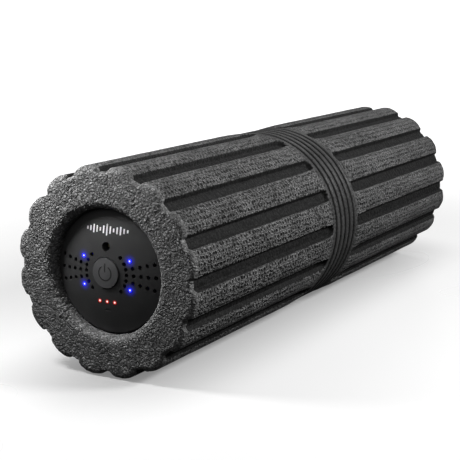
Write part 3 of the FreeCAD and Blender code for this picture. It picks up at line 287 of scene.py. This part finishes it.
class Look:
    """One procedural material and the nodes it is built from."""

    def __init__(self, name):
        self.material = bpy.data.materials.new(name)
        self.material.use_nodes = True
        self.tree = self.material.node_tree
        self.shader = self.tree.nodes["Principled BSDF"]

    def node(self, kind, inputs=(), **settings):
        made = self.tree.nodes.new(kind)
        for key, value in settings.items():
            setattr(made, key, value)
        for key, value in dict(inputs).items():
            self.feed(made.inputs[key], value)
        return made

    def feed(self, socket, value):
        """Links a socket to another node's output, or sets its value."""
        if isinstance(value, bpy.types.NodeSocket):
            self.tree.links.new(value, socket)
        else:
            socket.default_value = value

    def set(self, **values):
        """Feeds the shader's sockets, with an underscore for each space in a name."""
        for key, value in values.items():
            self.feed(self.shader.inputs[key.replace("_", " ")], value)

    def math(self, operation, a, b=0.0):
        return self.node("ShaderNodeMath", {0: a, 1: b}, operation=operation).outputs[0]

    def product(self, *values):
        """Values multiplied together."""
        result = values[0]
        for value in values[1:]:
            result = self.math("MULTIPLY", result, value)
        return result

    def vector(self, operation, a, b=(0.0, 0.0, 0.0)):
        made = self.node("ShaderNodeVectorMath", {0: a, 1: b}, operation=operation)
        return made.outputs["Value" if operation in ("LENGTH", "DISTANCE") else "Vector"]

    def millimetres(self):
        """Object coordinates in mm."""
        place = self.node("ShaderNodeTexCoord").outputs["Object"]
        return self.vector("MULTIPLY", place, (1000.0, 1000.0, 1000.0))

    def unrolled(self):
        """Arc length and station along the skin in mm."""
        place = self.node("ShaderNodeUVMap", uv_map="skin").outputs["UV"]
        return self.vector("MULTIPLY", place, (1000.0, 1000.0, 1000.0))

    def axis(self, place, number):
        """One coordinate of a place."""
        return self.node("ShaderNodeSeparateXYZ", {0: place}).outputs[number]

    def noise(self, place, size, detail=2.0, roughness=0.5):
        inputs = {"Vector": place, "Scale": 1.0 / size, "Detail": detail, "Roughness": roughness}
        return self.node("ShaderNodeTexNoise", inputs).outputs["Fac"]

    def cells(self, place, size, feature="F1", dimensions="3D", randomness=1.0):
        inputs = {"Vector": place, "Scale": 1.0 / size, "Randomness": randomness}
        return self.node("ShaderNodeTexVoronoi", inputs, feature=feature, voronoi_dimensions=dimensions)

    def between(self, value, low, high, to_low=0.0, to_high=1.0):
        """Maps low..high onto to_low..to_high, smoothly and clamped."""
        inputs = {0: value, 1: low, 2: high, 3: to_low, 4: to_high}
        return self.node("ShaderNodeMapRange", inputs, interpolation_type="SMOOTHSTEP").outputs[0]

    def mix(self, share, a, b):
        """Colour between a and b."""
        return self.node("ShaderNodeMix", {0: share, 6: a, 7: b}, data_type="RGBA").outputs[2]

    def grey(self, value):
        """A grey colour from a value."""
        return self.node("ShaderNodeCombineColor", {0: value, 1: value, 2: value}).outputs[0]

    def bump(self, height, depth_mm):
        inputs = {"Height": height, "Distance": depth_mm * MM, "Strength": 1.0}
        self.set(Normal=self.node("ShaderNodeBump", inputs).outputs[0])

    def specular(self, level):
        self.shader.inputs["Specular IOR Level"].default_value = level


# ---------------------------------------------------------------- foam materials

PEBBLE_SIZE = 1.9
PIT_PITCH = 3.8
PIT_RANDOMNESS = 0.35
BAND_OPENNESS = 0.12


def foam_skin():
    """Moulded outside of the foam: pebbles, rows of small dark pits, smooth ribs, and painted shade that
    darkens the grooves and rib cuts.
    """
    look = Look("foam_skin")
    place = look.unrolled()
    station = look.math("ABSOLUTE", look.axis(place, 1))
    open_skin = look.between(station, BAND_EDGE - 4.0, BAND_EDGE + 7.0, BAND_OPENNESS, 1.0)
    painted_hollow_shade = look.node("ShaderNodeAttribute", attribute_name="painted_hollow_shade").outputs["Fac"]
    wander = look.noise(place, 9.0, 1.0)
    pebbles = look.cells(place, PEBBLE_SIZE, "F1", "2D").outputs["Distance"]
    pit_cell = look.cells(place, PIT_PITCH, "F1", "2D", PIT_RANDOMNESS).outputs["Distance"]
    pit_size = look.between(wander, 0.3, 0.7, 0.26, 0.4)
    pits = look.between(look.math("DIVIDE", pit_cell, pit_size), 0.6, 1.0)
    edges = look.cells(place, PIT_PITCH, "DISTANCE_TO_EDGE", "2D", PIT_RANDOMNESS).outputs["Distance"]
    borders = look.between(edges, 0.0, 0.12)
    fine = look.noise(place, 1.1, 3.0, 0.75)
    patches = look.noise(place, 26.0, 2.0)
    grain = look.product(
        look.between(pebbles, 0.1, 0.7, 1.9, 0.5),
        look.between(borders, 0.0, 1.0, 0.5, 1.0),
        look.between(pits, 0.0, 1.0, 0.02, 1.0),
        look.between(fine, 0.35, 0.65, 0.5, 1.7),
    )
    tone = look.product(
        look.between(patches, 0.3, 0.7, 0.057, 0.088),
        look.math("POWER", grain, open_skin),
        look.between(open_skin, BAND_OPENNESS, 1.0, 0.45, 1.0),
        # Painted shade: darker deep in the grooves and rib cuts
        look.between(painted_hollow_shade, 0.0, 1.0, 1.0, 0.15),
    )
    gloss = look.between(fine, 0.35, 0.65, 0.3, 0.56)
    look.set(Base_Color=look.grey(tone), Roughness=look.math("ADD", gloss, look.product(painted_hollow_shade, 0.4)))
    height = look.product(pebbles, -0.9)
    for layer, share in ((pits, 1.1), (borders, 0.35), (fine, 0.7)):
        height = look.math("ADD", height, look.product(layer, share))
    look.bump(look.product(height, open_skin), 1.2)
    look.specular(0.2)
    return look.material


def foam_hollow_shade():
    """Floors and walls of the grooves and rib cuts: matt and nearly black, as painted shade."""
    look = Look("foam_hollow_shade")
    place = look.millimetres()
    cells = look.cells(place, 2.6).outputs["Distance"]
    fine = look.noise(place, 0.9, 3.0, 0.7)
    tone = look.between(cells, 0.1, 0.8, 0.009, 0.002)
    look.set(Base_Color=look.grey(tone), Roughness=look.between(fine, 0.35, 0.65, 0.6, 0.85))
    look.bump(look.math("SUBTRACT", fine, cells), 0.5)
    look.specular(0.16)
    return look.material


def foam_beads():
    """Bare ends of the foam: small packed beads, each with its own grey, in a darker mortar."""
    look = Look("foam_beads")
    place = look.millimetres()
    squashed = look.vector("MULTIPLY", place, (1.0, BEAD_SQUASH, 1.0))
    cell = look.cells(squashed, BEAD_SIZE)
    own_grey = look.node("ShaderNodeSeparateColor", {0: cell.outputs["Color"]}).outputs[0]
    border = look.cells(squashed, BEAD_SIZE, "DISTANCE_TO_EDGE").outputs["Distance"]
    small = look.cells(place, 1.1).outputs["Distance"]
    fine = look.noise(place, 0.8, 3.0, 0.7)
    tone = look.product(
        look.between(own_grey, 0.0, 1.0, 0.09, 0.16),
        look.between(border, 0.0, 0.22, 0.5, 1.0),
        look.between(small, 0.15, 0.8, 1.3, 0.7),
        look.between(fine, 0.3, 0.7, 0.7, 1.3),
    )
    look.set(Base_Color=look.grey(tone), Roughness=look.between(fine, 0.35, 0.65, 0.5, 0.72))
    height = look.product(look.between(border, 0.0, 0.35), 0.8)
    for layer, share in ((small, -0.8), (fine, 0.5)):
        height = look.math("ADD", height, look.product(layer, share))
    look.bump(height, 0.45)
    look.specular(0.3)
    return look.material


# ---------------------------------------------------------------- moulded and metal materials

FINE_GRAIN = 0.35
FINE_RELIEF = 0.03
TURNED = (1.0, 30.0, 1.0)
BRUSHED = (1.0, 12.0, 1.0)
DRAWN = (8.0, 1.0, 8.0)

# Colour, roughness, size of the grain and its relief
MOULDED = {
    "core_plastic": ((0.012, 0.012, 0.012), 0.5, FINE_GRAIN, FINE_RELIEF),
    "button_plastic": ((0.06, 0.06, 0.062), 0.42, 0.3, FINE_RELIEF),
    "switch_plastic": ((0.03, 0.03, 0.03), 0.4, FINE_GRAIN, FINE_RELIEF),
    "board_laminate": ((0.008, 0.012, 0.01), 0.3, 1.2, FINE_RELIEF),
    "plug_plastic": ((0.7, 0.66, 0.56), 0.5, FINE_GRAIN, FINE_RELIEF),
    "cell_can": ((0.05, 0.22, 0.5), 0.25, 3.0, 0.01),
    "chassis_plastic": ((0.06, 0.06, 0.06), 0.55, 0.8, FINE_RELIEF),
    "magnet_ferrite": ((0.06, 0.06, 0.065), 0.6, 0.5, FINE_RELIEF),
    "brush_carbon": ((0.03, 0.03, 0.03), 0.5, 0.5, FINE_RELIEF),
    "lead_rubber": ((0.02, 0.02, 0.02), 0.5, FINE_GRAIN, FINE_RELIEF),
}
# Colour, roughness and how the fine lines run
METALS = {
    # Plated brass darkened below its own colour, as painted shade on the charge jack's pin deep in its
    # hole.
    "plated_brass": ((0.4, 0.34, 0.22), 0.42, TURNED),
    "screw_steel": ((0.56, 0.56, 0.55), 0.32, TURNED),
    "nickel_strip": ((0.66, 0.64, 0.6), 0.28, TURNED),
    "spacer_aluminium": ((0.78, 0.78, 0.79), 0.3, BRUSHED),
    "motor_steel": ((0.5, 0.5, 0.51), 0.35, TURNED),
    "bearing_bronze": ((0.55, 0.38, 0.2), 0.4, TURNED),
    "copper_wire": ((0.72, 0.33, 0.16), 0.3, DRAWN),
    "weight_iron": ((0.3, 0.3, 0.31), 0.45, TURNED),
}


def moulded(name, colour, roughness, grain=FINE_GRAIN, relief=FINE_RELIEF, spread=0.12):
    """Moulded plastic with a fine spark-eroded grain and a slight unevenness of tone."""
    look = Look(name)
    place = look.millimetres()
    texture = look.noise(place, grain, 3.0, 0.6)
    cloud = look.noise(place, 14.0, 2.0)
    darker = [c * (1.0 - spread) for c in colour] + [1.0]
    lighter = [c * (1.0 + spread) for c in colour] + [1.0]
    look.set(Base_Color=look.mix(look.between(cloud, 0.3, 0.7), darker, lighter))
    look.set(Roughness=look.between(texture, 0.3, 0.7, roughness - 0.05, roughness + 0.07))
    look.bump(texture, relief)
    return look


def metal(name, colour, roughness, stretch):
    """Turned, brushed or drawn metal with fine lines."""
    look = Look(name)
    place = look.vector("MULTIPLY", look.millimetres(), stretch)
    lines = look.noise(place, 1.2, 4.0, 0.65)
    darker = [c * 0.8 for c in colour] + [1.0]
    look.set(Base_Color=look.mix(look.between(lines, 0.35, 0.65), darker, (*colour, 1.0)))
    look.set(Roughness=look.between(lines, 0.3, 0.7, roughness - 0.08, roughness + 0.1))
    look.shader.inputs["Metallic"].default_value = 1.0
    look.bump(lines, 0.01)
    return look


def ink(name, colour):
    """Printed ink, a little uneven."""
    return moulded(name, colour, 0.5, grain=0.25, relief=0.01, spread=0.06).material


# ---------------------------------------------------------------- panel and its lights

# The panel's middle is this far inside the end face, and its edge lower by the rise of its dome
PANEL_RECESS = 3.0
PANEL_APEX = PANEL_RECESS - HALF_LENGTH
PANEL_RISE = 5.0
LENS_BACK = PANEL_APEX + 2.6
GLOW_BACK = PANEL_APEX + 10.0
CHIP_HALF_WIDTH = 1.0
SPEED_LIGHT = (SPEED_CHIPS_HIGH[0] - CHIP_HALF_WIDTH, 0.0, SPEED_CHIPS_HIGH[2] - CHIP_HALF_WIDTH)
CHARGE_X = CHARGE_CHIPS_HIGH[0] - CHIP_HALF_WIDTH
CHARGE_Z = (CHARGE_CHIPS_LOW[2] + CHARGE_CHIPS_HIGH[2]) / 2
BLUE_GLOW = (0.01, 0.015, 1.0, 1.0)
BLUE_RIM = (0.01, 0.02, 1.0, 1.0)
BLUE_CORE = (0.75, 0.72, 1.0, 1.0)
RED_GLOW = (1.0, 0.03, 0.02, 1.0)
RED_RIM = (0.4, 0.008, 0.004, 1.0)
RED_CORE = (1.0, 0.86, 0.8, 1.0)


def distance_to_speed_light(look, place):
    """Distance from the nearest of the four speed lights, seen along the axis."""
    flat = look.vector("MULTIPLY", look.vector("ABSOLUTE", place), (1.0, 0.0, 1.0))
    return look.vector("DISTANCE", flat, SPEED_LIGHT)


def distance_to_charge_light(look, place):
    """Distance from the nearest of the three charge lights, seen along the axis."""
    flat = look.vector("MULTIPLY", place, (1.0, 0.0, 1.0))
    nearest = look.vector("DISTANCE", flat, (0.0, 0.0, CHARGE_Z))
    for side in (-CHARGE_X, CHARGE_X):
        nearest = look.math("MINIMUM", nearest, look.vector("DISTANCE", flat, (side, 0.0, CHARGE_Z)))
    return nearest


def panel_plastic():
    """Matte black plastic of both end covers. At the panel's end it catches the lights' glow."""
    look = moulded("panel_plastic", (0.024, 0.024, 0.0245), 0.47)
    place = look.millimetres()
    near_panel = look.between(look.axis(place, 1), LENS_BACK, GLOW_BACK, 1.0, 0.0)
    blue = look.between(distance_to_speed_light(look, place), 0.9, 6.0, 1.0, 0.0)
    red = look.between(distance_to_charge_light(look, place), 0.8, 2.3, 1.0, 0.0)
    blue = look.product(look.math("POWER", blue, 2.2), near_panel, 0.3)
    red = look.product(look.math("POWER", red, 2.0), near_panel, 0.14)
    look.set(Emission_Color=look.mix(look.math("GREATER_THAN", red, blue), BLUE_GLOW, RED_GLOW))
    look.set(Emission_Strength=look.math("MAXIMUM", blue, red))
    return look.material


def lit_lens(name, rim, middle, distance, core_radius, strength):
    """Light pipe: bright in its middle, coloured towards its rim, and dark behind the panel."""
    look = Look(name)
    place = look.millimetres()
    core = look.between(distance(look, place), core_radius * 0.5, core_radius * 1.4, 1.0, 0.0)
    haze = look.noise(place, 0.5, 2.0)
    outside = look.between(look.axis(place, 1), LENS_BACK - 0.5, LENS_BACK, 1.0, 0.0)
    look.set(Base_Color=rim, Roughness=look.between(haze, 0.3, 0.7, 0.15, 0.3))
    look.set(Emission_Color=look.mix(core, rim, middle))
    shine = look.between(core, 0.0, 1.0, strength * 0.55, strength)
    look.set(Emission_Strength=look.product(shine, outside))
    return look.material


def paint_frame():
    """Gives each shown CAD node the material of its slot in the record."""
    made = {name: moulded(name, *finish).material for name, finish in MOULDED.items()}
    made.update({name: metal(name, *finish).material for name, finish in METALS.items()})
    made["panel_plastic"] = panel_plastic()
    made["blue_light"] = lit_lens("blue_light", BLUE_RIM, BLUE_CORE, distance_to_speed_light, 0.6, 1.5)
    made["red_light"] = lit_lens("red_light", RED_RIM, RED_CORE, distance_to_charge_light, 0.62, 1.3)
    for part in frame["record"]["subparts"]:
        if part["material_slot"] in made:
            for slot in frame["nodes"][part["node"]].material_slots:
                slot.material = made[part["material_slot"]]


# ---------------------------------------------------------------- printed marks

# Section of a printed band: share of its half width, and of its height
BAND_PROFILE = ((-1.0, -0.5), (-0.96, 0.5), (-0.8, 0.85), (0.0, 1.0), (0.8, 0.85), (0.96, 0.5), (1.0, -0.5))
TIP_WIDTH = 0.55
TIP_HEIGHT = 0.6
BUTTON_RADIUS = 9.5
BUTTON_RISE = 0.5
SYMBOL_RADIUS = 4.6
SYMBOL_GAP = 28.0
SYMBOL_BAR = (0.6, 6.4)
SYMBOL_LINE = 0.9
SYMBOL_HEIGHT = 0.09
MARK_BARS = 13
MARK_PITCH = 2.5
MARK_MIDDLE = 27.0
MARK_SHORTEST = 0.9
MARK_SWING = 2.7
MARK_LINE = 1.05
MARK_HEIGHT = 0.12


def dome_surface(apex, radius, rise):
    """Function from x, z to y on a dome whose apex faces -Y."""
    ball = (radius ** 2 + rise ** 2) / (2 * rise)

    def surface(x, z):
        return apex + ball - math.sqrt(ball ** 2 - x ** 2 - z ** 2)

    return surface


def raised_band(path, width, surface, height):
    """Points in metres and quads of one band with rounded edges, laid on a dome along a flat path."""
    points = [Vector(p) for p in path]
    last = len(points) - 1
    verts = []
    for i, point in enumerate(points):
        ahead = points[min(i + 1, last)] - points[max(i - 1, 0)]
        side = Vector((-ahead.y, ahead.x)).normalized()
        at_end = i in (0, last)
        for across, up in BAND_PROFILE:
            x, z = point + side * across * (TIP_WIDTH if at_end else 1.0) * width / 2
            lift = up * height * (TIP_HEIGHT if at_end and up > 0 else 1.0)
            verts.append((x * MM, (surface(x, z) - lift) * MM, z * MM))
    n = len(BAND_PROFILE)
    faces = []
    for i in range(last):
        for j in range(n):
            a, b = i * n + j, i * n + (j + 1) % n
            faces.append((a, b, b + n, a + n))
    faces.append(tuple(reversed(range(n))))
    faces.append(tuple(last * n + j for j in range(n)))
    return verts, faces


def raised_strip(name, paths, width, surface, height, material, body):
    """Thin raised bands along flat paths of x, z, as one piece."""
    verts, faces = [], []
    for path in paths:
        band_verts, band_faces = raised_band(path, width, surface, height)
        faces += [tuple(len(verts) + i for i in face) for face in band_faces]
        verts += band_verts
    mesh = bpy.data.meshes.new(name)
    mesh.from_pydata(verts, [], faces)
    mesh.update()
    mesh.polygons.foreach_set("use_smooth", [True] * len(faces))
    mesh.materials.append(material)
    piece = bpy.data.objects.new(name, mesh)
    bpy.context.collection.objects.link(piece)
    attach(piece, body)
    return piece


def line(start, end, steps=6):
    """Points along a straight stroke with short first and last steps, so that its ends are round."""
    shares = [0.0, 0.04] + [0.04 + 0.92 * i / steps for i in range(1, steps + 1)] + [1.0]
    return [tuple(a + (b - a) * s for a, b in zip(start, end)) for s in shares]


def arc(radius, start, end, steps=40):
    """Points along an arc, from one angle in degrees to another."""
    angles = [math.radians(start + (end - start) * i / steps) for i in range(steps + 1)]
    return [(radius * math.cos(a), radius * math.sin(a)) for a in angles]


def power_symbol():
    """Open ring and upright bar on the button."""
    surface = dome_surface(BUTTON_APEX, BUTTON_RADIUS, BUTTON_RISE)
    ring = arc(SYMBOL_RADIUS, 90.0 + SYMBOL_GAP, 450.0 - SYMBOL_GAP)
    bar = line((0.0, SYMBOL_BAR[0]), (0.0, SYMBOL_BAR[1]))
    material = ink("symbol_ink", (0.004, 0.004, 0.004))
    piece = raised_strip(
        "power_symbol", [ring, bar], SYMBOL_LINE, surface, SYMBOL_HEIGHT, material, "button"
    )
    return piece


def vibration_mark():
    """Row of upright bars that rise and fall, printed above the charge jack."""
    surface = dome_surface(PANEL_APEX, PANEL_RADIUS, PANEL_RISE)
    strokes = []
    for bar in range(MARK_BARS):
        i = bar - MARK_BARS // 2
        swell = math.cos(i * math.pi / (MARK_BARS + 1)) * (0.55 + 0.45 * math.cos(i * math.pi / 2))
        half = MARK_SHORTEST + MARK_SWING * swell
        x = i * MARK_PITCH
        strokes.append(line((x, MARK_MIDDLE - half), (x, MARK_MIDDLE + half), 4))
    material = ink("white_ink", (0.85, 0.85, 0.85))
    piece = raised_strip("vibration_mark", strokes, MARK_LINE, surface, MARK_HEIGHT, material, "roller")
    return piece


# ---------------------------------------------------------------- stage, lights and camera

FLOOR_HALF = 40.0
# Name, place, target, side in metres and power in watts
LAMPS = (
    ("key", (-0.12, -0.27, 0.15), (-0.03, -0.21, 0.05), 0.06, 0.87),
    ("fill", (0.3, -0.9, 0.6), (0.0, -0.2, 0.0), 0.4, 0.45),
    ("top", (0.05, 0.5, 0.8), (0.0, 0.18, 0.0), 0.3, 2.2),
    ("side", (0.8, 0.12, 0.55), (0.0, 0.12, 0.0), 0.2, 14.0),
)
SKY_LOW = 0.03
SKY_HIGH = 0.35
CAMERA_AZIMUTH = math.radians(29.6)
CAMERA_ELEVATION = math.radians(11.4)
CAMERA_LENS = 93.9
# The near end's middle as the camera sees it, in metres: to the right, up and ahead
FACE_FROM_CAMERA = (-0.0786, -0.0272, 0.741)


def floor():
    """Pale floor that the roller rests on: its glow is painted light, dimmer round the roller as a painted
    shadow and fading to plain white away from it.
    """
    look = Look("floor_white")
    place = look.node("ShaderNodeTexCoord").outputs["Object"]
    cloud = look.noise(place, 0.3, 2.0)
    look.set(Base_Color=look.mix(cloud, (0.3, 0.3, 0.3, 1.0), (0.33, 0.33, 0.33, 1.0)))
    look.set(Roughness=look.between(cloud, 0.3, 0.7, 0.26, 0.34))
    roller_end = (0.0, HALF_LENGTH * MM, 0.0)
    beyond_end = look.vector("MAXIMUM", look.vector("ABSOLUTE", place), roller_end)
    off_end = look.vector("SUBTRACT", beyond_end, roller_end)
    away = look.vector("LENGTH", look.vector("MULTIPLY", off_end, (1.0, 1.0, 0.0)))
    # Painted shadow: the floor's glow is weakest under the roller and brightens over the first 0.1 m away
    # from it; farther out it brightens to plain white.
    painted_shadow_emission = look.between(away, 0.0, 0.1, 0.2, 0.53)
    beyond = look.between(away, 0.1, 0.8, 0.0, 0.6)
    look.set(Emission_Color=(1.0, 1.0, 1.0, 1.0))
    look.set(Emission_Strength=look.math("ADD", painted_shadow_emission, beyond))
    z = SLEEVE_LOW[2] * MM
    mesh = bpy.data.meshes.new("floor")
    corners = [(x * FLOOR_HALF, y * FLOOR_HALF, z) for x, y in ((-1, -1), (1, -1), (1, 1), (-1, 1))]
    mesh.from_pydata(corners, [], [(0, 1, 2, 3)])
    mesh.materials.append(look.material)
    piece = bpy.data.objects.new("floor", mesh)
    bpy.context.collection.objects.link(piece)
    piece.visible_diffuse = False
    piece.visible_glossy = False


def softbox(name, place, target, side, power):
    """Square area light aimed at a point, itself unseen."""
    data = bpy.data.lights.new(name, "AREA")
    data.shape = "SQUARE"
    data.size = side
    data.energy = power
    lamp = bpy.data.objects.new(name, data)
    lamp.location = place
    lamp.rotation_mode = "QUATERNION"
    lamp.rotation_quaternion = (Vector(target) - Vector(place)).to_track_quat("-Z", "Y")
    lamp.visible_camera = False
    bpy.context.collection.objects.link(lamp)


def white_room():
    """White surroundings as seen directly, which light the roller only weakly and from above."""
    world = bpy.data.worlds.new("white_room")
    world.use_nodes = True
    tree = world.node_tree
    place = tree.nodes.new("ShaderNodeTexCoord")
    height = tree.nodes.new("ShaderNodeSeparateXYZ")
    sky = tree.nodes.new("ShaderNodeMapRange")
    path = tree.nodes.new("ShaderNodeLightPath")
    seen = tree.nodes.new("ShaderNodeMath")
    seen.operation = "MAXIMUM"
    sky.inputs["From Min"].default_value = -0.4
    sky.inputs["From Max"].default_value = 1.0
    sky.inputs["To Min"].default_value = SKY_LOW
    sky.inputs["To Max"].default_value = SKY_HIGH
    background = tree.nodes["Background"]
    background.inputs["Color"].default_value = (1.0, 1.0, 1.0, 1.0)
    tree.links.new(place.outputs["Generated"], height.inputs[0])
    tree.links.new(height.outputs["Z"], sky.inputs["Value"])
    tree.links.new(path.outputs["Is Camera Ray"], seen.inputs[0])
    tree.links.new(sky.outputs["Result"], seen.inputs[1])
    tree.links.new(seen.outputs[0], background.inputs["Strength"])
    bpy.context.scene.world = world
    bpy.context.scene.view_settings.view_transform = "Standard"


def view_axes():
    """Camera's right, up and forward directions."""
    sin_a, cos_a = math.sin(CAMERA_AZIMUTH), math.cos(CAMERA_AZIMUTH)
    sin_e, cos_e = math.sin(CAMERA_ELEVATION), math.cos(CAMERA_ELEVATION)
    right = Vector((cos_a, sin_a, 0.0))
    up = Vector((-sin_a * sin_e, cos_a * sin_e, cos_e))
    forward = Vector((-sin_a * cos_e, cos_a * cos_e, -sin_e))
    return right, up, forward


def camera():
    """Camera that looks at the panel's end from its right and a little above."""
    right, up, forward = view_axes()
    across, above, ahead = FACE_FROM_CAMERA
    data = bpy.data.cameras.new("camera")
    data.lens = CAMERA_LENS
    data.sensor_width = 36.0
    near_end = Vector((0.0, SLEEVE_LOW[1] * MM, 0.0))
    eye = bpy.data.objects.new("camera", data)
    eye.location = near_end - right * across - up * above - forward * ahead
    eye.rotation_mode = "QUATERNION"
    eye.rotation_quaternion = Matrix((right, up, -forward)).transposed().to_quaternion()
    bpy.context.collection.objects.link(eye)
    bpy.context.scene.camera = eye


# ---------------------------------------------------------------- build

camera()
white_room()
floor()
for lamp_settings in LAMPS:
    softbox(*lamp_settings)
paint_frame()
sleeve = foam_sleeve()
for finish in (foam_skin, foam_beads, foam_hollow_shade):
    sleeve.data.materials.append(finish())
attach(sleeve, "roller")
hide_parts("foam_sleeve")
power_symbol()
vibration_mark()
